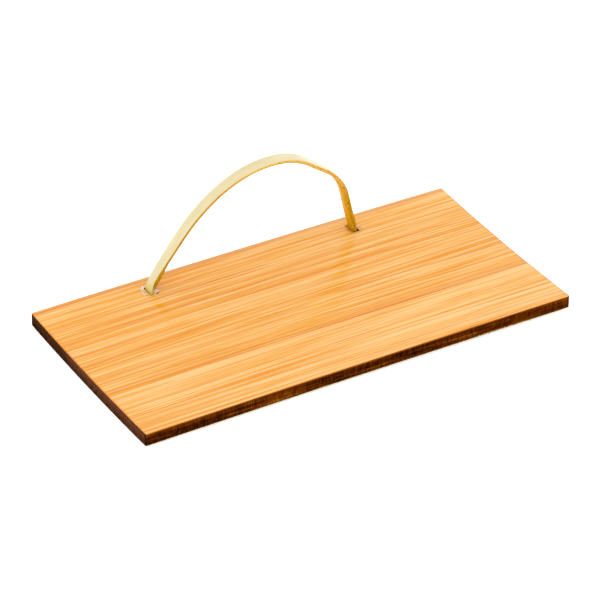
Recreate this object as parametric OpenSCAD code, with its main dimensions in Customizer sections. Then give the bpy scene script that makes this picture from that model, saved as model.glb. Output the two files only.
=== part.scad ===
// Bamboo plaque with a bent cane loop.
// Millimetres. The board lies on Z = 0 with its face up, its long edges along X and its middle at the
// origin. The loop stands near the back edge, which is at +Y.

/* [Board] */
// Length of the board, along the grain
board_length = 100; // [70:1:160]
// Width of the board, across the strips
board_width = 50; // [40:1:80]
// Thickness of the bamboo sheet
board_thick = 3; // [2:0.5:3.5]
// Rounding of the board's edges
edge_round = 0.15; // [0.05:0.05:0.4]
// Rounding of the board's four upright corners
corner_round = 0.3; // [0.2:0.1:2]

/* [Slots] */
// Distance between the middles of the two slots
slot_spacing = 49; // [30:0.2:60]
// Distance from the middle of a slot to the back edge
slot_inset = 4.7; // [4:0.1:6]
// Length of a slot, across the board
slot_length = 3.3; // [3.2:0.1:4]
// Width of a slot, along the board
slot_width = 1.9; // [1.8:0.1:2.4]

/* [Loop] */
// Width of the cane strip
cane_width = 3; // [2:0.1:3]
// Thickness of the cane strip
cane_thick = 0.7; // [0.5:0.05:0.8]
// Height above the face at which the loop's feet bend when it leans over
fold_height = 2.4; // [1.9:0.1:3]

/* [Glue] */
// Radius of the glue squeezed out round the left foot
bead_left_radius = 2.4; // [2.2:0.1:3]
// Radius of the film of glue round the right foot
bead_right_radius = 2; // [1.9:0.1:3]

/* [Hidden] */

// Share of the board's width in each bamboo strip, from the back edge to the front
strip_shares = [8, 8, 9, 9.5, 9, 6.5];
share_total = strip_shares * [1, 1, 1, 1, 1, 1];

// Colours of the strips, the cane and the glue
bamboo_colors = ["#E9A85A", "#EDB063", "#F2BC72", "#EBAA5C", "#F5C984", "#F1BE78"];
cane_color = "#EFE0B0";
glue_color = "#F3E6D6";

// The cane strip from its left end to its right one: each stretch's length and its turn in degrees
stretches = [
    [board_thick - 0.2, 0], [2, -26], [4, -8], [8.2, -3.5], [9, -13.5], [9, -18.5], [9, -24],
    [8, -31], [5, -1], [5, -20], [4, -19.5], [7, 0], [board_thick + 3.6, -10.5]
];
// Slope of the strip in the left slot, from +X towards +Z
first_heading = 88;
// Longest straight piece of the bent strip
bend_step = 1;

// How far the strip's ends and the glue stop short of the back of the board
end_recess = 0.3;
// How far outside the middle of its slot the strip's left end and its right one lie, at the back of the board
end_splay = [0.5, 0.3];
// How far the fixed ends stand out of the face
end_rise = 0.2;
// Height of the glue on the face, at the left foot and at the right one
bead_height = 0.2;
film_height = 0.08;
// Height up to which the glue fills the whole slot
glue_level = 1.9;
// How far a cutter runs past what it cuts
cut_over = 1;

slot_y = board_width / 2 - slot_inset;
fold_z = board_thick + fold_height;

// Sum of the first count numbers of a list
function sum_to(list, count, at = 0) = at >= count ? 0 : list[at] + sum_to(list, count, at + 1);

// Front edge of strip number index, as Y; index 0 is the back edge of the board
function seam_y(index) =
    board_width / 2 - board_width * sum_to(strip_shares, index) / share_total;

// Straight pieces of the bent strip, as [length, turn]
pieces = [
    for (s = stretches)
        let (count = ceil(s[0] / bend_step))
        for (i = [1:count]) [s[0] / count, s[1] / count]
];

// Heading of each straight piece: half of its own turn is made before it
headings = [
    for (i = 0, turned = first_heading; i < len(pieces); turned = turned + pieces[i][1], i = i + 1)
        turned + pieces[i][1] / 2
];

// Middle line of the strip, from the origin, in the X-Z plane
raw_path = [
    for (
        i = 0, at = [0, 0];
        i <= len(pieces);
        at = i < len(pieces) ? at + pieces[i][0] * [cos(headings[i]), sin(headings[i])] : at,
        i = i + 1
    )
        at
];

// The path is sized to the slots, and both of its ends lie in the plane of the board's back
raw_end = raw_path[len(raw_path) - 1];
path_span = slot_spacing + end_splay[0] + end_splay[1];
path_scale = path_span / raw_end[0];
path_start = -slot_spacing / 2 - end_splay[0];
path = [
    for (p = raw_path)
        [path_start + path_scale * p[0], path_scale * (p[1] - raw_end[1] * p[0] / raw_end[0])]
];

// Direction across the strip at point number i, on its outer side
function across(i) =
    let (before = path[max(i - 1, 0)], after = path[min(i + 1, len(path) - 1)], run = after - before)
    [-run[1], run[0]] / norm(run);

// Outline of the whole bent strip, seen from the front
outline = concat(
    [for (i = [0:len(path) - 1]) path[i] + across(i) * cane_thick / 2],
    [for (i = [len(path) - 1:-1:0]) path[i] - across(i) * cane_thick / 2]
);

// The sheet before it is cut into strips, with its edges slightly rounded
module rounded_bar(size, radius, height) {
    linear_extrude(height, center = true)
        union() {
            square([size[0] - 2 * radius, size[1]], center = true);
            square([size[0], size[1] - 2 * radius], center = true);
            for (x = [-1, 1], y = [-1, 1])
                translate([x * (size[0] / 2 - radius), y * (size[1] / 2 - radius)])
                    circle(radius, $fn = 24);
        }
}

module sheet() {
    translate([0, 0, board_thick / 2])
        intersection() {
            rounded_bar([board_length, board_width], corner_round, board_thick + cut_over);
            rotate([90, 0, 90])
                rounded_bar([board_width, board_thick], edge_round, board_length + cut_over);
            rotate([90, 0, 0])
                rounded_bar([board_length, board_thick], edge_round, board_width + cut_over);
        }
}

// Both slots, cut right through the sheet
module slots() {
    for (side = [-1, 1])
        translate([side * slot_spacing / 2, slot_y, board_thick / 2])
            cube([slot_width, slot_length, board_thick + 2 * cut_over], center = true);
}

// Bamboo strip number index, counted from the back edge
module bamboo_strip(index) {
    color(bamboo_colors[index - 1])
        difference() {
            intersection() {
                sheet();
                translate([-board_length, seam_y(index), -cut_over])
                    cube([2 * board_length, seam_y(index - 1) - seam_y(index), board_thick + 2 * cut_over]);
            }
            slots();
        }
}

// The whole bent cane strip, before it is parted at its feet
module bent_cane() {
    translate([0, slot_y + cane_width / 2, 0])
        rotate([90, 0, 0])
            linear_extrude(cane_width)
                polygon(outline);
}

// The arch, with feet that are round about the line on which they bend
module loop_strip() {
    color(cane_color)
        intersection() {
            bent_cane();
            union() {
                translate([-slot_spacing, slot_y - cane_width, fold_z])
                    cube([2 * slot_spacing, 2 * cane_width, slot_spacing]);
                translate([0, slot_y, fold_z])
                    rotate([0, 90, 0])
                        cylinder(2 * slot_spacing, r = cane_width / 2, center = true, $fn = 48);
            }
        }
}

// The end of the strip in the slot on one side: -1 is left and 1 is right
module strip_end(side) {
    color(cane_color)
        intersection() {
            bent_cane();
            translate([side * slot_spacing / 2 - slot_width, slot_y - cane_width, end_recess])
                cube([2 * slot_width, 2 * cane_width, board_thick + end_rise - end_recess]);
        }
}

// A flat bead of glue on the face, round the mouth of the slot
module glue_bead(radius, height) {
    translate([0, 0, board_thick])
        rotate_extrude($fn = 48)
            polygon([[0, 0], [radius, 0], [radius - 2 * height, height], [0, height]]);
}

// Glue at one foot: it fills the back of the slot and wicks up beside the strip to the bead on the face,
// and the outer half of the slot's mouth stays open
module glue(side, radius, height) {
    color(glue_color)
        difference() {
            translate([side * slot_spacing / 2, slot_y, 0])
                difference() {
                    union() {
                        translate([-slot_width / 2, -slot_length / 2, end_recess])
                            cube([slot_width, slot_length, board_thick - end_recess]);
                        glue_bead(radius, height);
                    }
                    translate([side * slot_width / 4, 0, glue_level + board_thick / 2])
                        cube([slot_width / 2, slot_length, board_thick], center = true);
                }
            bent_cane();
        }
}

module strip_end_left() { strip_end(-1); }
module strip_end_right() { strip_end(1); }
module glue_left() { glue(-1, bead_left_radius, bead_height); }
module glue_right() { glue(1, bead_right_radius, film_height); }

bamboo_strip(1);  // bamboo_strip_01
bamboo_strip(2);  // bamboo_strip_02
bamboo_strip(3);  // bamboo_strip_03
bamboo_strip(4);  // bamboo_strip_04
bamboo_strip(5);  // bamboo_strip_05
bamboo_strip(6);  // bamboo_strip_06
loop_strip();
strip_end_left();
strip_end_right();
glue_left();
glue_right();
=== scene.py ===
"""Looks of the bamboo plaque: a charred, laser-cut bamboo board with a bent cane loop.

The meshes are worked out in millimetres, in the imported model's frame, and made in metres.
"""
import math

import bpy
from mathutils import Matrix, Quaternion, Vector, geometry, noise


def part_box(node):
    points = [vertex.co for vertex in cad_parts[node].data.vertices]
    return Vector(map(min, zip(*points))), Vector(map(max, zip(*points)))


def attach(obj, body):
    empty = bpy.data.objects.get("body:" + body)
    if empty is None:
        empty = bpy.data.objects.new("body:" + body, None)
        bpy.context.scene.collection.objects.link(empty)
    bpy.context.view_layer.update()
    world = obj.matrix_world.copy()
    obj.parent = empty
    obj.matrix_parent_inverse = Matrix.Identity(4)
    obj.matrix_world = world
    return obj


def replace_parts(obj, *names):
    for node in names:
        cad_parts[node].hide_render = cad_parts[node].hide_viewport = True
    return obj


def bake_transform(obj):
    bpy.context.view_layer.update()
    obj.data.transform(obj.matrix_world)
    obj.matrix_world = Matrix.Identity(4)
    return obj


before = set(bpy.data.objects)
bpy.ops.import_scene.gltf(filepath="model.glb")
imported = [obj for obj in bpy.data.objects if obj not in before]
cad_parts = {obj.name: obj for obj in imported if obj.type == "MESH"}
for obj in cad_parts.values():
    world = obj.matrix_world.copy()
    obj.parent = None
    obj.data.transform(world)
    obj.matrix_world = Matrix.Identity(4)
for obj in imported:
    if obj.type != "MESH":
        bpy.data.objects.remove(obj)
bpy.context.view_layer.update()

MM = 0.001
BACK_TO_FRONT = sorted(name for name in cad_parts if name.startswith("bamboo_strip"))


def box_mm(node):
    """Lowest and highest corner of a CAD node, in millimetres."""
    low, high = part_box(node)
    return low / MM, high / MM


BOARD_HIGH = box_mm(BACK_TO_FRONT[0])[1]
HALF_LENGTH = BOARD_HIGH.x
HALF_WIDTH = BOARD_HIGH.y
THICK = BOARD_HIGH.z

# The board: how far it is bent across its width and along its length, and its edges and corners
CUP = 0.6
CROWN = 0.2
ARRIS = 0.15
SEAM_ARRIS = 0.04
CORNER = 0.3
CUT_STEP = 0.1
SEAM_STEP = 1.0
WALL_ROWS = 6
ARRIS_ROWS = 4
FACE_STEP = 1.3
SLOT_MARGIN = 0.4
# How far each strip's face stands above the sheet's, starting with the back strip
STRIP_LIFTS = [0.0, -0.015, 0.01, -0.01, 0.015, 0.0]
RIDGE_DEPTH = 0.05
RIDGE_PITCH = 0.32

# The slots, and the cane that stands in them, with its angles in degrees and its taper as a share
SLOT_X = 1.9
SLOT_Y = 3.3
SLOT_ARRIS = 0.06
CANE_THICK = 0.7
SKIN_POINTS = 17
CANE_STEP = 0.5
INNER_MIDDLE = 4.9
END_RECESS = 0.3
END_SPLAY_LEFT = 0.5
END_SPLAY_RIGHT = 0.3
TWIST = 6
LEFT_FOOT_TWIST = -6
RIGHT_FOOT_TWIST = -5
LEFT_SWELL = 0.45
RIGHT_SWELL = 0.22
RIGHT_TAPER = 0.14
FIRST_HEADING = 88
STRETCHES = [
    (2.8, 0), (2, -26), (4, -8), (8.2, -3.5), (9, -13.5), (9, -18.5), (9, -24),
    (8, -31), (5, -1), (5, -20), (4, -19.5), (7, 0), (6.6, -10.5),
]
FOOT_LEFT = sum(box_mm("glue_left"), Vector()) / 2
FOOT_RIGHT = sum(box_mm("glue_right"), Vector()) / 2
CANE_WIDTH = box_mm("loop_strip")[1].y - box_mm("loop_strip")[0].y

# The glue: how far its rings reach below the face, how far its plugs start above the back and end below
# the face, and how far they run into the walls of their slots
RING_DEPTH = 0.06
PLUG_START = 0.45
PLUG_SUNK_LEAST = 0.04
PLUG_SUNK_MOST = 0.72
PLUG_OVERLAP = 0.03
RING_POINTS = 64
RING_ROWS = 10
# Each ring: its radius and height, how far it lies off the middle of its slot, and the gap that it leaves
# on the loop's inner side. White patches, partly clouded glue and partly painted glints: place from the
# middle of the slot, size and strength.
LEFT_RING = {
    "radius": 2.1, "height": 0.16, "lean": Vector((-0.25, 0.15)), "gap": 0.12,
    "glint_and_frost_patches": [
        (-1.1, 1.9, 1.5, 1.0), (-2.0, 0.3, 1.0, 0.9), (-2.0, -1.0, 0.9, 0.8), (0.6, -1.1, 1.2, 1.0),
    ],
}
RIGHT_RING = {
    "radius": 2.0, "height": 0.05, "lean": Vector((0, 0)), "gap": 0.9,
    "glint_and_frost_patches": [(1.6, 0.6, 1.2, 0.25)],
}


# Camera, light and floor

CAMERA_AIM = Vector((2.83, 5.47, CUP))
CAMERA_DISTANCE = 714.5
CAMERA_AZIMUTH = math.radians(-30.46)
CAMERA_ELEVATION = math.radians(33.02)
CAMERA_ROLL = math.radians(0.26)
CAMERA_LENS = 205.2


def direction(azimuth, elevation):
    """Unit vector from the object towards a viewer at that azimuth and elevation, in radians."""
    level = math.cos(elevation)
    return Vector((math.sin(azimuth) * level, -math.cos(azimuth) * level, math.sin(elevation)))


def make_camera():
    data = bpy.data.cameras.new("camera")
    data.lens = CAMERA_LENS
    data.clip_start = 0.01
    camera = bpy.data.objects.new("camera", data)
    back = direction(CAMERA_AZIMUTH, CAMERA_ELEVATION)
    camera.location = (CAMERA_AIM + back * CAMERA_DISTANCE) * MM
    camera.rotation_euler = (back.to_track_quat("Z", "Y") @ Quaternion((0, 0, 1), CAMERA_ROLL)).to_euler()
    bpy.context.scene.collection.objects.link(camera)
    bpy.context.scene.camera = camera


def make_light(name, azimuth, elevation, distance, size, power):
    """A square soft light that faces the board."""
    data = bpy.data.lights.new(name, "AREA")
    data.size = size
    data.energy = power
    light = bpy.data.objects.new(name, data)
    back = direction(math.radians(azimuth), math.radians(elevation))
    light.location = back * distance
    light.rotation_euler = back.to_track_quat("Z", "Y").to_euler()
    bpy.context.scene.collection.objects.link(light)


def make_studio():
    scene = bpy.context.scene
    scene.view_settings.view_transform = "Standard"
    world = bpy.data.worlds.new("studio")
    world.use_nodes = True
    world.node_tree.nodes["Background"].inputs["Color"].default_value = (1, 1, 1, 1)
    world.node_tree.nodes["Background"].inputs["Strength"].default_value = 1.3
    scene.world = world
    make_light("front", -20, 40, 1.0, 0.6, 2.8)
    bpy.ops.mesh.primitive_plane_add(size=6)
    floor = bpy.context.object
    floor.name = "floor"
    shader = Shader("floor")
    shader.set("Base Color", (0.98, 0.98, 0.98, 1))
    shader.set("Roughness", 0.9)
    shader.set("Emission Color", (0.4, 0.85, 1, 1))
    shader.set("Emission Strength", 0.35)
    floor.data.materials.append(shader.material)


# Materials

class Shader:
    """A material's nodes, with short calls for the kinds that it is made of."""

    def __init__(self, name):
        self.material = bpy.data.materials.new(name)
        self.material.use_nodes = True
        self.tree = self.material.node_tree
        self.surface = self.tree.nodes["Principled BSDF"]

    def put(self, socket, value):
        if isinstance(value, bpy.types.NodeSocket):
            self.tree.links.new(value, socket)
        else:
            socket.default_value = value

    def set(self, name, value):
        self.put(self.surface.inputs[name], value)

    def add(self, kind, values, output=0, **settings):
        node = self.tree.nodes.new(kind)
        for name, value in settings.items():
            setattr(node, name, value)
        for key, value in values.items():
            self.put(node.inputs[key], value)
        return node.outputs[output]

    def math(self, operation, a, b=0.0, clamp=False):
        return self.add("ShaderNodeMath", {0: a, 1: b}, operation=operation, use_clamp=clamp)

    def plus(self, a, b):
        return self.math("ADD", a, b)

    def minus(self, a, b):
        return self.math("SUBTRACT", a, b)

    def times(self, a, b):
        return self.math("MULTIPLY", a, b)

    def ease(self, value, start, end, low=0.0, high=1.0):
        """Goes smoothly from low to high as value goes from start to end."""
        inputs = {"Value": value, "From Min": start, "From Max": end, "To Min": low, "To Max": high}
        return self.add("ShaderNodeMapRange", inputs, interpolation_type="SMOOTHSTEP")

    def vector(self, x, y, z):
        return self.add("ShaderNodeCombineXYZ", {0: x, 1: y, 2: z})

    def noise(self, vector, detail=2.0, roughness=0.5):
        inputs = {"Vector": vector, "Scale": 1.0, "Detail": detail, "Roughness": roughness}
        return self.add("ShaderNodeTexNoise", inputs)

    def streaks(self, x, across, stretch, scale, lane, detail=0.0):
        """Noise drawn out along X; lane tells one pattern from the next."""
        return self.noise(self.vector(self.times(x, stretch), self.times(across, scale), lane), detail)

    def mix(self, share, first, second):
        """A colour that goes from first to second as share goes from 0 to 1."""
        node = self.tree.nodes.new("ShaderNodeMix")
        node.data_type = "RGBA"
        self.put(node.inputs["Factor"], share)
        for name, value in (("A", first), ("B", second)):
            socket = [s for s in node.inputs if s.name == name and s.type == "RGBA"][0]
            self.put(socket, value)
        return [s for s in node.outputs if s.type == "RGBA"][0]

    def bump(self, height, depth):
        """Relief from a height between 0 and 1, depth millimetres deep."""
        return self.add("ShaderNodeBump", {"Height": height, "Distance": depth * MM, "Strength": 1.0})

    def place(self):
        """X, Y and Z in millimetres."""
        coordinates = self.tree.nodes.new("ShaderNodeTexCoord").outputs["Object"]
        scaled = self.add("ShaderNodeVectorMath", {0: coordinates, "Scale": 1 / MM}, operation="SCALE")
        split = self.tree.nodes.new("ShaderNodeSeparateXYZ")
        self.put(split.inputs[0], scaled)
        return split.outputs[0], split.outputs[1], split.outputs[2]


def colour(red, green, blue):
    """A colour given as on a screen, from 0 to 255, as the linear one that a shader takes."""
    def linear(value):
        value = value / 255
        return value / 12.92 if value <= 0.04045 else ((value + 0.055) / 1.055) ** 2.4
    return (linear(red), linear(green), linear(blue), 1)


# Each bamboo strip: how dense its grain is at its left and its right end, from 0 to 1, how far its fibres
# drift towards +Y over the length of the board, and its darkest fibres. Such a fibre is given by its
# distance from the board's back edge at the left and at the right end of the board, where it starts and
# stops along X, its width and its strength.
STRIP_LOOKS = [
    (0.44, 0.36, 0.6, [
        (0.9, 0.9, -60, 60, 1.1, 0.68), (2.8, 2.8, 4, 40, 0.3, 0.4), (8.2, 7.4, -60, 5, 0.35, 0.6),
    ]),
    (0.56, 0.41, 1.0, [
        (11.2, 10.0, -60, 60, 0.35, 0.5), (13.5, 12.5, -60, 60, 0.4, 0.5), (14.6, 14.3, -20, 60, 0.3, 0.3),
        (16, 16, -26, 60, 0.4, 0.8),
    ]),
    (0.46, 0.42, 1.6, [
        (18.2, 16.9, -60, -26, 0.4, 0.6), (19, 19.8, -14, 20, 0.35, 0.5), (21.4, 21.1, 26, 60, 0.3, 0.6),
        (22.8, 20.4, -60, -14, 0.3, 0.6), (22.7, 25.1, 4, 60, 0.4, 0.7),
    ]),
    (0.45, 0.45, 0.8, [
        (28.2, 27.2, -60, -8, 0.4, 0.6), (29.6, 29.2, 26, 60, 0.35, 0.4), (32.7, 30.2, -60, -10, 0.3, 0.7),
        (33.4, 32.8, -60, -20, 0.3, 0.4), (34.5, 34.3, -32, 60, 0.5, 1.0),
        (33.7, 33.4, -40, 70, 1.0, 0.35),
    ]),
    (0.33, 0.18, 0.4, [
        (40.1, 39.1, -60, -28, 0.3, 0.3), (38.7, 39.6, -14, 22, 0.3, 0.3), (43.4, 43.4, -60, 60, 0.4, 0.3),
    ]),
    (0.38, 0.16, 0.0, [
        (46, 45.5, -60, -18, 0.5, 0.3), (47.4, 47.4, 2, 60, 0.5, 0.4), (49.2, 49.2, -60, 60, 0.3, 0.3),
    ]),
]
# Layers of grain across the fibres: how many to a millimetre, how long they run for their width, and weight
GRAIN_LAYERS = [(0.3, 0.03, 0.14), (0.7, 0.02, 0.14), (1.4, 0.013, 0.34), (2.4, 0.01, 0.6)]
# Layers of thin dark fibres: how many to a millimetre, and weight
THREAD_LAYERS = [(0.6, 0.4), (1.1, 0.5), (1.8, 0.5)]
PALE_GRAIN = (218, 175, 111)
COMMON_GRAIN = (212, 152, 64)
DENSE_GRAIN = (207, 126, 0)
DARK_FIBRE = (190, 102, 0)
SCORCHED = (196, 108, 8)
# How far apart two strips' patterns of noise are
STRIP_LANE = 31.0


def fibre_lines(s, from_back, x, lines):
    """Strength of the darkest fibres: 1 in the middle of a strong one."""
    total = 0.0
    for left, right, start, stop, width, strength in lines:
        rise = (right - left) / (2 * HALF_LENGTH)
        centre = s.plus(s.times(x, rise), (left + right) / 2)
        off = s.math("ABSOLUTE", s.minus(from_back, centre))
        line = s.ease(off, 0.1 * width, width, strength, 0.0)
        line = s.times(line, s.ease(x, start, start + 10))
        line = s.times(line, s.ease(x, stop - 12, stop, 1.0, 0.0))
        total = s.math("MAXIMUM", total, line)
    return total


def across_fibres(s, x, y, z, index, drift):
    """A measure that stays the same along a fibre, which wanders a little, and goes up by Y across them."""
    wander = s.noise(s.vector(s.times(x, 0.02), s.times(y, 0.1), 7.0 + STRIP_LANE * index), 1.0)
    bent = s.plus(s.plus(y, s.times(x, -0.5 * drift / HALF_LENGTH)), s.times(s.minus(wander, 0.5), 0.8))
    return s.plus(bent, s.times(z, 0.12))


def add_layers(s, x, bent, grain, lane):
    """Adds the layers of grain and of threads to the grain; returns it with the lane that was used last."""
    for scale, stretch, weight in GRAIN_LAYERS:
        lane += 3.7
        layer = s.streaks(x, bent, scale * stretch, scale, lane)
        grain = s.plus(grain, s.ease(layer, 0.3, 0.7, -0.5 * weight, 0.5 * weight))
    for scale, weight in THREAD_LAYERS:
        lane += 5.3
        layer = s.streaks(x, bent, 0.008, scale, lane)
        thread = s.ease(s.math("ABSOLUTE", s.minus(layer, 0.5)), 0.0, 0.06, weight, 0.0)
        present = s.streaks(x, bent, 0.03, 0.8, lane + 2)
        grain = s.plus(grain, s.times(thread, s.ease(present, 0.35, 0.65)))
    return grain, lane


def scorched_rim(s, index, x, y):
    """How brown the heat made the face next to the cut edges and the slots, from 0 to 1."""
    cut = s.math("MINIMUM", s.minus(HALF_LENGTH, s.math("ABSOLUTE", x)),
                 s.minus(HALF_WIDTH, s.math("ABSOLUTE", y)))
    if index == 0:
        for foot in (FOOT_LEFT, FOOT_RIGHT):
            out_x = s.minus(s.math("ABSOLUTE", s.minus(x, foot.x)), SLOT_X / 2)
            out_y = s.minus(s.math("ABSOLUTE", s.minus(y, foot.y)), SLOT_Y / 2)
            cut = s.math("MINIMUM", cut, s.math("MAXIMUM", out_x, out_y))
    ragged = s.noise(s.vector(s.times(x, 1.3), s.times(y, 1.3), 3.0), 3.0)
    scorch = {0: 0.5, len(STRIP_LOOKS) - 1: 0.3}.get(index, 0.7)
    return s.ease(s.plus(cut, s.times(s.minus(ragged, 0.5), 0.3)), 0.05, 0.55, scorch, 0.0)


def bamboo(index, y_back, y_front):
    """Satin bamboo with fibres along X, which the heat browned next to the cuts."""
    left, right, drift, lines = STRIP_LOOKS[index]
    s = Shader("bamboo_%d" % (index + 1))
    x, y, z = s.place()
    bent = across_fibres(s, x, y, z, index, drift)
    grain = s.plus(s.ease(x, -HALF_LENGTH, HALF_LENGTH, left, right),
                   s.ease(y, y_back, y_front, -0.19, 0.07))
    grain, lane = add_layers(s, x, bent, grain, STRIP_LANE * index)
    fine = s.streaks(x, bent, 0.08, 4.5, lane + 3, 1.0)
    hair = s.streaks(x, bent, 0.35, 13.0, lane + 6, 1.0)
    grain = s.plus(grain, s.ease(fine, 0.3, 0.7, -0.24, 0.24))
    grain = s.math("ADD", grain, s.ease(hair, 0.3, 0.7, -0.08, 0.08), clamp=True)
    face = s.mix(s.ease(grain, 0.0, 0.5), colour(*PALE_GRAIN), colour(*COMMON_GRAIN))
    face = s.mix(s.ease(grain, 0.5, 1.0), face, colour(*DENSE_GRAIN))
    shade = s.times(s.streaks(x, bent, 0.05, 3.0, lane + 9, 1.0), 1.5)
    strong = s.times(fibre_lines(s, s.minus(HALF_WIDTH, y), x, lines), shade)
    thin = s.ease(hair, 0.6, 0.8, 0.0, 0.2)
    face = s.mix(s.math("ADD", strong, thin, clamp=True), face, colour(*DARK_FIBRE))
    rim = scorched_rim(s, index, x, y)
    s.set("Base Color", s.mix(rim, face, colour(*SCORCHED)))
    s.set("Roughness", s.math("MAXIMUM", s.ease(fine, 0.3, 0.7, 0.2, 0.12), s.times(rim, 0.8)))
    s.set("IOR", 1.34)
    s.set("Normal", s.bump(s.plus(s.times(fine, 0.6), s.times(hair, 0.4)), 0.014))
    return s.material


def burnt_sides(s, x, y, height, stripes):
    """Colour of the long cut edges: soot in streaks along the fibres, and less of it near both faces."""
    lengthwise = s.noise(s.vector(s.times(x, 0.07), s.times(y, 0.07), s.times(height, 1.7)), 3.0, 0.7)
    hatch = s.noise(s.vector(s.times(x, 5.0), s.times(y, 5.0), 8.0), 1.0)
    soot = s.plus(s.ease(lengthwise, 0.4, 0.6, -0.1, 0.6), s.ease(stripes, 0.35, 0.65, 0.0, 0.6))
    burnt = s.mix(soot, colour(24, 6, 1), colour(88, 36, 2))
    streaks = s.ease(s.plus(lengthwise, s.times(stripes, 0.4)), 0.8, 0.95, 0.0, 0.7)
    burnt = s.mix(streaks, burnt, colour(150, 88, 14))
    burnt = s.mix(s.ease(height, 2.35, 2.85, 0.0, 0.6), burnt, colour(164, 82, 6))
    low = s.ease(s.minus(height, s.times(hatch, 0.9)), -0.5, -0.15, 0.9, 0.0)
    burnt = s.mix(low, burnt, colour(156, 98, 24))
    spared = s.noise(s.vector(s.times(x, 0.07), s.times(y, 0.07), 15.0), 1.0)
    spared = s.times(s.ease(spared, 0.52, 0.6), s.ease(hatch, 0.4, 0.6))
    spared = s.times(spared, s.ease(height, 0.1, 0.5, 0.9, 0.0))
    return s.mix(spared, burnt, colour(196, 146, 62))


def burnt_ends(s, x, y, height, stripes):
    """Colour of the cut ends of the fibres: greyer, and blacker towards the back and at the corners."""
    shade = s.plus(s.ease(height, 0.2, 2.8, -0.1, 0.5), s.ease(stripes, 0.35, 0.65, 0.0, 0.6))
    ends = s.mix(shade, colour(50, 24, 4), colour(96, 55, 38))
    patch = s.noise(s.vector(s.times(y, 0.12), s.times(x, 0.1), s.times(height, 0.3)), 1.0)
    dark = s.ease(s.plus(y, s.times(s.minus(patch, 0.5), 12.0)), 5.0, 12.0, 0.0, 0.55)
    ends = s.mix(dark, ends, colour(28, 12, 4))
    at_corner = s.ease(s.minus(HALF_WIDTH, s.math("ABSOLUTE", y)), 0.2, 0.7, 0.8, 0.0)
    return s.mix(at_corner, ends, colour(20, 10, 6))


def char():
    """Wood that the laser burnt, with fine stripes that run down the cut."""
    s = Shader("char")
    x, y, z = s.place()
    height = s.minus(z, s.times(s.times(y, y), CUP / HALF_WIDTH ** 2))
    height = s.minus(height, s.minus(CROWN, s.times(s.times(x, x), CROWN / HALF_LENGTH ** 2)))
    stripes = s.noise(s.vector(s.times(x, 3.5), s.times(y, 3.5), s.times(height, 0.5)), 2.0, 0.7)
    sides = burnt_sides(s, x, y, height, stripes)
    ends = burnt_ends(s, x, y, height, stripes)
    on_end = s.ease(s.minus(HALF_LENGTH, s.math("ABSOLUTE", x)), 0.1, 0.3, 1.0, 0.0)
    s.set("Base Color", s.mix(on_end, sides, ends))
    s.set("Roughness", s.ease(stripes, 0.3, 0.7, 0.85, 0.6))
    s.set("Specular IOR Level", 0.0)
    s.set("Normal", s.bump(stripes, 0.08))
    return s.material


def cane_shader(name):
    """A shader for cane, with the distances in millimetres along the cane and around it."""
    s = Shader(name)
    uv = s.tree.nodes.new("ShaderNodeUVMap")
    uv.uv_map = "cane"
    split = s.tree.nodes.new("ShaderNodeSeparateXYZ")
    s.put(split.inputs[0], uv.outputs[0])
    return s, split.outputs[0], split.outputs[1]


def cane_skin():
    """The pale, smooth outer skin of split cane, with painted shade and warm bounce light from the board
    near its left foot.
    """
    s, along, around = cane_shader("cane_skin")
    fibres = s.noise(s.vector(s.times(along, 0.25), s.times(around, 5.0), 0.0), 2.0, 0.6)
    pores = s.noise(s.vector(s.times(along, 1.6), s.times(around, 9.0), 4.0), 1.0)
    patches = s.noise(s.vector(s.times(along, 0.12), s.times(around, 0.4), 8.0), 2.0)
    skin = s.mix(s.ease(patches, 0.35, 0.65), colour(207, 196, 158), colour(201, 187, 144))
    skin = s.mix(s.ease(fibres, 0.45, 0.7, 0.0, 0.5), skin, colour(196, 180, 126))
    skin = s.mix(s.ease(pores, 0.55, 0.75, 0.0, 0.4), skin, colour(182, 164, 106))
    riper = s.times(s.ease(along, 20, 28, 0.0, 0.3), s.ease(along, 40, 47, 1.0, 0.0))
    skin = s.mix(riper, skin, colour(186, 168, 118))
    # Painted shade and warm bounce light from the board: the skin yellower and darker near its left foot.
    painted_foot_shading = s.ease(along, 3.0, 7.5, 0.6, 0.0)
    skin = s.mix(painted_foot_shading, skin, colour(210, 192, 60))
    s.set("Base Color", skin)
    s.set("Roughness", s.ease(pores, 0.3, 0.7, 0.26, 0.36))
    s.set("Normal", s.bump(s.plus(s.times(fibres, 0.7), s.times(pores, 0.3)), 0.02))
    return s.material


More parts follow.
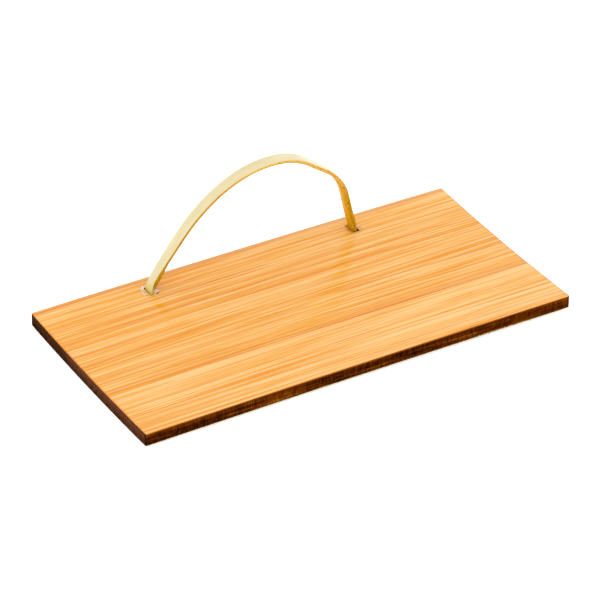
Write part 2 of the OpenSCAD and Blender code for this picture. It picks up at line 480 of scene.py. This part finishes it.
def cane_core():
    """The golden wood under the skin: the split inner face and the cut edges, paler at the top, with
    painted bounce light on the right leg and painted shade above the left foot.
    """
    s, along, around = cane_shader("cane_core")
    fibres = s.noise(s.vector(s.times(along, 0.2), s.times(around, 6.0), 0.0), 2.0, 0.6)
    flecks = s.noise(s.vector(s.times(along, 0.9), s.times(around, 5.0), 4.0), 2.0)
    streak = s.ease(fibres, 0.35, 0.65)
    inner = s.mix(streak, colour(224, 166, 34), colour(207, 149, 10))
    # Painted bounce light: a paler border on one side of the inner face, on the right leg below its bend.
    bounce_lit_border = s.times(s.ease(along, 58, 64), s.ease(along, 68, 73, 1.0, 0.0))
    bounce_lit_border = s.times(bounce_lit_border, s.ease(around, INNER_MIDDLE - 0.9, INNER_MIDDLE + 0.3, 0.9, 0.0))
    inner = s.mix(bounce_lit_border, inner, colour(234, 188, 126))
    low_edge = s.mix(streak, colour(188, 145, 30), colour(170, 123, 8))
    high_edge = s.mix(streak, colour(212, 170, 90), colour(200, 154, 60))
    rising = s.ease(along, 14, 46)
    falling = s.ease(along, 60, 68, 1.0, 0.0)
    edge = s.mix(s.times(rising, falling), low_edge, high_edge)
    on_edge = s.ease(s.math("ABSOLUTE", s.minus(around, INNER_MIDDLE)), 1.2, 1.4)
    core = s.mix(on_edge, inner, edge)
    core = s.mix(s.ease(flecks, 0.57, 0.68, 0.0, 0.8), core, colour(104, 60, 2))
    # Painted shade: darker flecks in the golden wood just above its left foot.
    painted_foot_shading = s.times(s.ease(along, 5.5, 7.5, 1.0, 0.0), s.ease(flecks, 0.45, 0.6, 0.0, 0.8))
    core = s.mix(painted_foot_shading, core, colour(120, 76, 6))
    core = s.mix(s.ease(along, 4.0, 5.2, 0.7, 0.0), core, colour(196, 176, 112))
    s.set("Base Color", core)
    s.set("Roughness", s.ease(fibres, 0.3, 0.7, 0.7, 0.5))
    s.set("Specular IOR Level", 0.0)
    s.set("Normal", s.bump(fibres, 0.05))
    return s.material


def glue(name, foot, glint_and_frost_patches):
    """Dried glue: clear, with the wood showing through, and white in places: partly clouded glue, partly
    painted glints.
    """
    s = Shader(name)
    x, y, _ = s.place()
    cloud = s.noise(s.vector(s.times(x, 1.4), s.times(y, 1.4), 2.0), 2.0, 0.6)
    # White patches: partly the glue's own clouding, partly painted glints of light on the glue.
    white = 0.0
    for patch_x, patch_y, size, strength in glint_and_frost_patches:
        across = s.minus(x, foot.x + patch_x)
        along = s.minus(y, foot.y + patch_y)
        out = s.math("SQRT", s.plus(s.times(across, across), s.times(along, along)))
        white = s.math("MAXIMUM", white, s.ease(out, 0.5 * size, size, strength, 0.0))
    white = s.times(white, s.ease(cloud, 0.4, 0.5))
    clear = s.mix(cloud, colour(214, 150, 60), colour(206, 140, 48))
    s.set("Base Color", s.mix(white, clear, colour(234, 216, 200)))
    s.set("Roughness", s.ease(cloud, 0.3, 0.7, 0.3, 0.15))
    s.set("Alpha", 0.8)
    s.set("Normal", s.bump(cloud, 0.06))
    return s.material


def deep_glue():
    """Glue down in a slot, tinted brown by the burnt walls."""
    s = Shader("deep_glue")
    x, y, z = s.place()
    cloud = s.noise(s.vector(s.times(x, 2.5), s.times(y, 2.5), z), 2.0)
    s.set("Base Color", s.mix(s.ease(cloud, 0.35, 0.65), colour(186, 138, 30), colour(150, 116, 14)))
    s.set("Roughness", s.ease(cloud, 0.3, 0.7, 0.4, 0.6))
    s.set("Normal", s.bump(cloud, 0.05))
    return s.material


# Meshes

def make_piece(name, points, faces, materials, second=()):
    """A smooth mesh from points in millimetres, with its sharp edges kept; second faces take material 1."""
    mesh = bpy.data.meshes.new(name)
    mesh.from_pydata([Vector(p) * MM for p in points], [], faces)
    mesh.shade_smooth()
    mesh.set_sharp_from_angle(angle=math.radians(40))
    for material in materials:
        mesh.materials.append(material)
    for number in second:
        mesh.polygons[number].material_index = 1
    piece = bpy.data.objects.new(name, mesh)
    bpy.context.scene.collection.objects.link(piece)
    return piece


def bow(x, y):
    """Height of the warped board's back: it is cupped across its width and arched along its length."""
    return CUP * (y / HALF_WIDTH) ** 2 + CROWN * (1 - (x / HALF_LENGTH) ** 2)


def side(start, end, step, inset, edge):
    """Points from start up to end, each with its full inset and the radius of its arris."""
    start, end = Vector(start), Vector(end)
    count = max(1, round((end - start).length / step))
    return [(start.lerp(end, i / count), Vector(inset), edge) for i in range(count)]


def corner(centre, first_angle):
    """A rounded corner of the board, a quarter turn anticlockwise from first_angle."""
    points = []
    for i in range(5):
        turn = math.radians(first_angle + 90 * i / 5)
        out = Vector((math.cos(turn), math.sin(turn)))
        points.append((Vector(centre) + out * CORNER, -out * ARRIS, ARRIS))
    return points


def strip_outline(y_front, y_back, front_cut, back_cut):
    """A strip's outline from above, anticlockwise from its front left corner."""
    end = HALF_LENGTH
    front_inset = ARRIS if front_cut else SEAM_ARRIS
    back_inset = ARRIS if back_cut else SEAM_ARRIS
    front_trim = CORNER if front_cut else 0
    back_trim = CORNER if back_cut else 0
    front_step = CUT_STEP if front_cut else SEAM_STEP
    back_step = CUT_STEP if back_cut else SEAM_STEP
    outline = []
    outline += side((-end + front_trim, y_front), (end - front_trim, y_front), front_step,
                    (0, front_inset), front_inset)
    outline += corner((end - CORNER, y_front + CORNER), -90) if front_cut else []
    outline += side((end, y_front + front_trim), (end, y_back - back_trim), CUT_STEP, (-ARRIS, 0), ARRIS)
    outline += corner((end - CORNER, y_back - CORNER), 0) if back_cut else []
    outline += side((end - back_trim, y_back), (-end + back_trim, y_back), back_step,
                    (0, -back_inset), back_inset)
    outline += corner((-end + CORNER, y_back - CORNER), 90) if back_cut else []
    outline += side((-end, y_back - back_trim), (-end, y_front + front_trim), CUT_STEP, (ARRIS, 0), ARRIS)
    outline += corner((-end + CORNER, y_front + CORNER), 180) if front_cut else []
    for i, (point, _, _) in enumerate(outline):
        on_end = abs(abs(point.x) - end) < 1e-6
        if on_end and not front_cut and abs(point.y - y_front) < 1e-6:
            outline[i] = (point, Vector((math.copysign(ARRIS, -point.x), SEAM_ARRIS)), ARRIS)
        if on_end and not back_cut and abs(point.y - y_back) < 1e-6:
            outline[i] = (point, Vector((math.copysign(ARRIS, -point.x), -SEAM_ARRIS)), ARRIS)
    return outline


def slot_outline(foot):
    """A slot's outline from above, clockwise, so that its wall faces into it."""
    low = foot.xy - Vector((SLOT_X, SLOT_Y)) / 2
    high = foot.xy + Vector((SLOT_X, SLOT_Y)) / 2
    corners = [(low.x, low.y), (low.x, high.y), (high.x, high.y), (high.x, low.y)]
    insets = [(-SLOT_ARRIS, 0), (0, SLOT_ARRIS), (SLOT_ARRIS, 0), (0, -SLOT_ARRIS)]
    outline = []
    for i in range(4):
        run = side(corners[i], corners[(i + 1) % 4], CUT_STEP * 1.5, insets[i], SLOT_ARRIS)
        point, inset, edge = run[0]
        run[0] = (point, inset + Vector(insets[i - 1]), edge)
        outline += run
    return outline


def ridge(point, z):
    """Depth of the laser's ridges in a cut wall, from 0 to 1."""
    along = Vector((point.x, point.y, 0.12 * z * z)) / RIDGE_PITCH
    return max(0.0, 0.5 + 0.5 * noise.noise(along) + 0.25 * noise.noise(along * 2.3))


def ring_heights(point, edge, lift):
    """Height and share of the full inset of each ring of a wall, from the bottom face to the top one."""
    low = bow(point.x, point.y)
    high = low + THICK + lift
    rings = []
    for i in range(ARRIS_ROWS):
        turn = 0.5 * math.pi * (1 - i / ARRIS_ROWS)
        rings.append((low + edge * (1 - math.sin(turn)), 1 - math.cos(turn)))
    for i in range(WALL_ROWS + 1):
        rings.append((low + edge + (high - low - 2 * edge) * i / WALL_ROWS, 0))
    for i in range(1, ARRIS_ROWS + 1):
        turn = 0.5 * math.pi * i / ARRIS_ROWS
        rings.append((high - edge * (1 - math.sin(turn)), 1 - math.cos(turn)))
    return rings


def add_wall(points, faces, charred, outline, lift):
    """Adds a wall round an outline; returns the numbers of its lowest and of its highest points."""
    rings = []
    for point, inset, edge in outline:
        heights = ring_heights(point, edge, lift)
        column = []
        for z, share in heights:
            depth = RIDGE_DEPTH * ridge(point, z) if edge > SEAM_ARRIS else 0.0
            at = point + inset * share + inset.normalized() * depth * (1 - share)
            column.append(len(points))
            points.append((at.x, at.y, z))
        rings.append(column)
    for i, column in enumerate(rings):
        following = rings[(i + 1) % len(rings)]
        burnt = outline[i][2] > SEAM_ARRIS and outline[(i + 1) % len(rings)][2] > SEAM_ARRIS
        on_end = abs(outline[i][1].x) > abs(outline[i][1].y)
        top = len(column) - (3 if on_end else 5)
        for low in range(len(column) - 1):
            if burnt and 1 < low < top:
                charred.append(len(faces))
            faces.append((column[low], following[low], following[low + 1], column[low + 1]))
    return [column[0] for column in rings], [column[-1] for column in rings]


def in_slot(at, foot, margin):
    """Whether a point seen from above lies in a slot, or within margin of it."""
    return abs(at.x - foot.x) < SLOT_X / 2 + margin and abs(at.y - foot.y) < SLOT_Y / 2 + margin


def add_face(points, faces, loops, y_front, y_back, lift, upwards):
    """Closes the strip's top or bottom with triangles between its loops."""
    numbers = [n for loop in loops for n in loop]
    flat = [Vector(points[n][:2]) for n in numbers]
    edges = []
    first = 0
    for loop in loops:
        edges += [(first + i, first + (i + 1) % len(loop)) for i in range(len(loop))]
        first += len(loop)
    rows = max(1, round((y_back - y_front) / FACE_STEP))
    columns = round(2 * HALF_LENGTH / FACE_STEP)
    for row in range(1, rows):
        for column in range(1, columns):
            shift = 0.5 * (row % 2)
            at = Vector((-HALF_LENGTH + 2 * HALF_LENGTH * (column + shift - 0.25) / columns,
                         y_front + (y_back - y_front) * row / rows))
            if any(in_slot(at, foot, SLOT_MARGIN) for foot in (FOOT_LEFT, FOOT_RIGHT)):
                continue
            numbers.append(len(points))
            flat.append(at)
            points.append((at.x, at.y, bow(at.x, at.y) + (THICK + lift if upwards else 0)))
    _, _, triangles, sources, _, _ = geometry.delaunay_2d_cdt(flat, edges, [], 1, 1e-5)
    for triangle in triangles:
        middle = sum((flat[sources[i][0]] for i in triangle), Vector((0, 0))) / 3
        if any(in_slot(middle, foot, 0) for foot in (FOOT_LEFT, FOOT_RIGHT)):
            continue
        corners = [numbers[sources[i][0]] for i in triangle]
        faces.append(corners if upwards else corners[::-1])


def make_strips():
    burnt_wood = char()
    for index, (node, lift) in enumerate(zip(BACK_TO_FRONT, STRIP_LIFTS)):
        low, high = box_mm(node)
        points, faces, charred = [], [], []
        first, last = index == 0, index == len(BACK_TO_FRONT) - 1
        outlines = [strip_outline(low.y, high.y, last, first)]
        if first:
            outlines += [slot_outline(foot) for foot in (FOOT_LEFT, FOOT_RIGHT)]
        walls = [add_wall(points, faces, charred, outline, lift) for outline in outlines]
        add_face(points, faces, [wall[0] for wall in walls], low.y, high.y, lift, False)
        add_face(points, faces, [wall[1] for wall in walls], low.y, high.y, lift, True)
        piece = make_piece(node.replace("bamboo_strip", "board_strip"), points, faces,
                           [bamboo(index, high.y, low.y), burnt_wood], charred)
        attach(piece, "board")
        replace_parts(piece, node)


def cane_line():
    """Middle line of the cane from its left end to its right one, as points in the X-Z plane."""
    at = Vector((0, 0))
    turned = FIRST_HEADING
    line = [at.copy()]
    for length, turn in STRETCHES:
        count = math.ceil(length / CANE_STEP)
        for _ in range(count):
            heading = math.radians(turned + 0.5 * turn / count)
            at = at + Vector((math.cos(heading), math.sin(heading))) * length / count
            turned += turn / count
            line.append(at)
    start = FOOT_LEFT.x - END_SPLAY_LEFT
    scale = (FOOT_RIGHT.x + END_SPLAY_RIGHT - start) / line[-1].x
    level = line[-1].y / line[-1].x
    return [Vector((start + scale * p.x, scale * (p.y - level * p.x))) for p in line]


def ease(value, start, end):
    """Goes smoothly from 0 to 1 as value goes from start to end."""
    share = min(1.0, max(0.0, (value - start) / (end - start)))
    return share * share * (3 - 2 * share)


def twist_at(share):
    """Twist of the cane in radians at a share of its length: one way at the top, the other at its feet."""
    top = TWIST * ease(share, 0.2, 0.58) * ease(share, 0.8, 0.58)
    left = LEFT_FOOT_TWIST * ease(share, 0.18, 0.08) * ease(share, 0.045, 0.08)
    right = RIGHT_FOOT_TWIST * ease(share, 0.88, 0.95)
    return math.radians(top + left + right)


def cane_section():
    """Outline of the cane as pairs of distances: across its width, and out from its middle line."""
    half, thick = CANE_WIDTH / 2, CANE_THICK / 2
    outline = []
    for i in range(SKIN_POINTS):
        share = -1 + 2 * i / (SKIN_POINTS - 1)
        outline.append((share * (half - 0.08), thick - 0.05 * share ** 2))
    outline += [(half - 0.03, thick - 0.1), (half, thick - 0.2), (half - 0.01, 0.0)]
    outline += [(half - 0.03, -thick + 0.1), (half - 0.1, -thick + 0.01)]
    for i in range(13):
        share = 1 - 2 * i / 12
        outline.append((share * (half - 0.2), -thick + 0.02 * (1 - share ** 2)))
    outline += [(-half + 0.1, -thick + 0.01), (-half + 0.03, -thick + 0.1)]
    outline += [(-half + 0.01, 0.0), (-half, thick - 0.2), (-half + 0.03, thick - 0.1)]
    return outline


def cane_ring(at, out, run, share, section):
    """The section of the cane at one point of its middle line: thicker on its inner side on both legs."""
    twist = twist_at(share)
    swell = LEFT_SWELL * ease(share, 0.14, 0.09) * ease(share, 0.05, 0.08)
    swell += RIGHT_SWELL * ease(share, 0.55, 0.68) * ease(share, 0.96, 0.9)
    back_edge = CANE_WIDTH / 2
    ring = []
    for across, depth in section:
        rough = noise.noise(Vector((run * 0.35, across * 3, depth * 5)))
        depth *= 1 - 0.03 * (1 + rough)
        if depth < 0:
            depth *= 1 + swell / (CANE_THICK / 2)
        across *= 1 - 0.008 * (1 + noise.noise(Vector((run * 0.4, across, 9))))
        forward = (across - back_edge) * (1 - RIGHT_TAPER * ease(share, 0.89, 0.96))
        depth += forward * math.sin(twist)
        ring.append((at.x + out.x * depth, FOOT_LEFT.y + back_edge + forward * math.cos(twist),
                     at.y + out.y * depth))
    return ring


def cane_rings(section):
    """Points of the cane, one section after the other, and each section's distance along the cane."""
    line = cane_line()
    runs = [0.0]
    for a, b in zip(line, line[1:]):
        runs.append(runs[-1] + (b - a).length)
    points, lengths = [], []
    for i, at in enumerate(line):
        if at.y < END_RECESS + bow(FOOT_LEFT.x, FOOT_LEFT.y):
            continue
        step = line[min(i + 1, len(line) - 1)] - line[max(i - 1, 0)]
        out = Vector((-step.y, step.x)).normalized()
        points += cane_ring(at, out, runs[i], runs[i] / runs[-1], section)
        lengths.append(runs[i])
    return points, lengths


def cane_faces(section, lengths):
    """Faces of the cane, the numbers of those under its skin, and the distances at each face's corners."""
    count = len(section)
    around = [0.0]
    for (a, b), (c, d) in zip(section, section[1:] + section[:1]):
        around.append(around[-1] + math.hypot(c - a, d - b))
    faces, core, coordinates = [], [], []
    for j in range(len(lengths) - 1):
        for i in range(count):
            k = (i + 1) % count
            if i >= SKIN_POINTS:
                core.append(len(faces))
            faces.append((j * count + i, (j + 1) * count + i, (j + 1) * count + k, j * count + k))
            coordinates += [(lengths[j], around[i]), (lengths[j + 1], around[i]),
                            (lengths[j + 1], around[i + 1]), (lengths[j], around[i + 1])]
    total = len(lengths) * count
    first_ring = list(range(count))
    last_ring = list(range(total - count, total))
    for ring, length in ((first_ring, lengths[0]), (last_ring[::-1], lengths[-1])):
        core.append(len(faces))
        faces.append(ring)
        coordinates += [(length, around[n % count]) for n in ring]
    return faces, core, coordinates


def make_cane():
    """The whole cane strip in one piece."""
    section = cane_section()
    points, lengths = cane_rings(section)
    faces, core, coordinates = cane_faces(section, lengths)
    piece = make_piece("cane_loop", points, faces, [cane_skin(), cane_core()], core)
    layer = piece.data.uv_layers.new(name="cane")
    layer.data.foreach_set("uv", [value for pair in coordinates for value in pair])
    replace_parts(piece, "loop_strip", "strip_end_left", "strip_end_right")
    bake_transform(piece)


def add_plug(points, faces, foot):
    """Adds the glue in a slot: nearly up to the face at its inner back corner, and sunk elsewhere."""
    low = bow(foot.x, foot.y) + PLUG_START
    high = bow(foot.x, foot.y) + THICK
    half_x, half_y = SLOT_X / 2 + PLUG_OVERLAP, SLOT_Y / 2 + PLUG_OVERLAP
    outer = math.copysign(1, foot.x)
    first = len(points)
    for bottom, shrink in ((True, 0.6), (True, 1), (False, 1), (False, 0.6)):
        for x, y in ((-1, -1), (1, -1), (1, 1), (-1, 1)):
            sunk = PLUG_SUNK_LEAST if x != outer and y > 0 else PLUG_SUNK_MOST
            z = low + 0.1 * (shrink < 1) if bottom else high - sunk
            points.append((foot.x + x * half_x * shrink, foot.y + y * half_y * shrink, z))
    first_face = len(faces)
    faces.append([first + 3, first + 2, first + 1, first])
    for row in range(3):
        for i in range(4):
            a, b = first + 4 * row + i, first + 4 * row + (i + 1) % 4
            faces.append((a, b, b + 4, a + 4))
    faces.append([first + 12, first + 13, first + 14, first + 15])
    return list(range(first_face, len(faces)))


def ring_column(foot, out, radius, height, lean, gap):
    """Points across the ring of glue in one direction out from the slot: over its top, and back below."""
    base = THICK + bow(foot.x, foot.y)
    wobble = noise.noise(Vector((out.x * 1.3, out.y * 1.3, foot.x)))
    half_x = gap if out.x * foot.x < 0 else 0.95 * SLOT_X / 2
    inner = min(half_x / max(abs(out.x), 1e-6), 0.97 * SLOT_Y / 2 / max(abs(out.y), 1e-6))
    towards = out.dot(lean)
    reach = radius * (0.97 + 0.3 * wobble)
    outer = max(inner + 0.15, towards + math.sqrt(towards ** 2 - lean.length_squared + reach ** 2))
    column = []
    for j in range(RING_ROWS + 1):
        share = j / RING_ROWS
        swell = math.sin(math.pi * share) ** 0.6 * (1 + 0.6 * wobble)
        column.append((inner + (outer - inner) * share, base - 0.02 + height * swell))
    column += [(outer, base - RING_DEPTH), (inner, base - RING_DEPTH)]
    return [(foot.x + out.x * away, foot.y + out.y * away, z) for away, z in column]


def make_glue(name, foot, radius, height, lean, gap, glint_and_frost_patches):
    """An uneven ring of glue round the mouth of a slot, off its middle by lean, and the plug in the slot.

    On the loop's inner side the ring reaches inwards up to gap from the middle of the slot.
    """
    points, faces = [], []
    for i in range(RING_POINTS):
        turn = 2 * math.pi * i / RING_POINTS
        points += ring_column(foot, Vector((math.cos(turn), math.sin(turn))), radius, height, lean, gap)
    count = len(points) // RING_POINTS
    for i in range(RING_POINTS):
        this, following = i * count, (i + 1) % RING_POINTS * count
        for j in range(count):
            k = (j + 1) % count
            faces.append((this + j, this + k, following + k, following + j))
    plug = add_plug(points, faces, foot)
    piece = make_piece(name, points, faces, [glue(name, foot, glint_and_frost_patches), deep_glue()], plug)
    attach(piece, "board")
    return piece


make_camera()
make_studio()
make_strips()
make_cane()
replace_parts(make_glue("glue_ring_left", FOOT_LEFT, **LEFT_RING), "glue_left")
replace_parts(make_glue("glue_ring_right", FOOT_RIGHT, **RIGHT_RING), "glue_right")
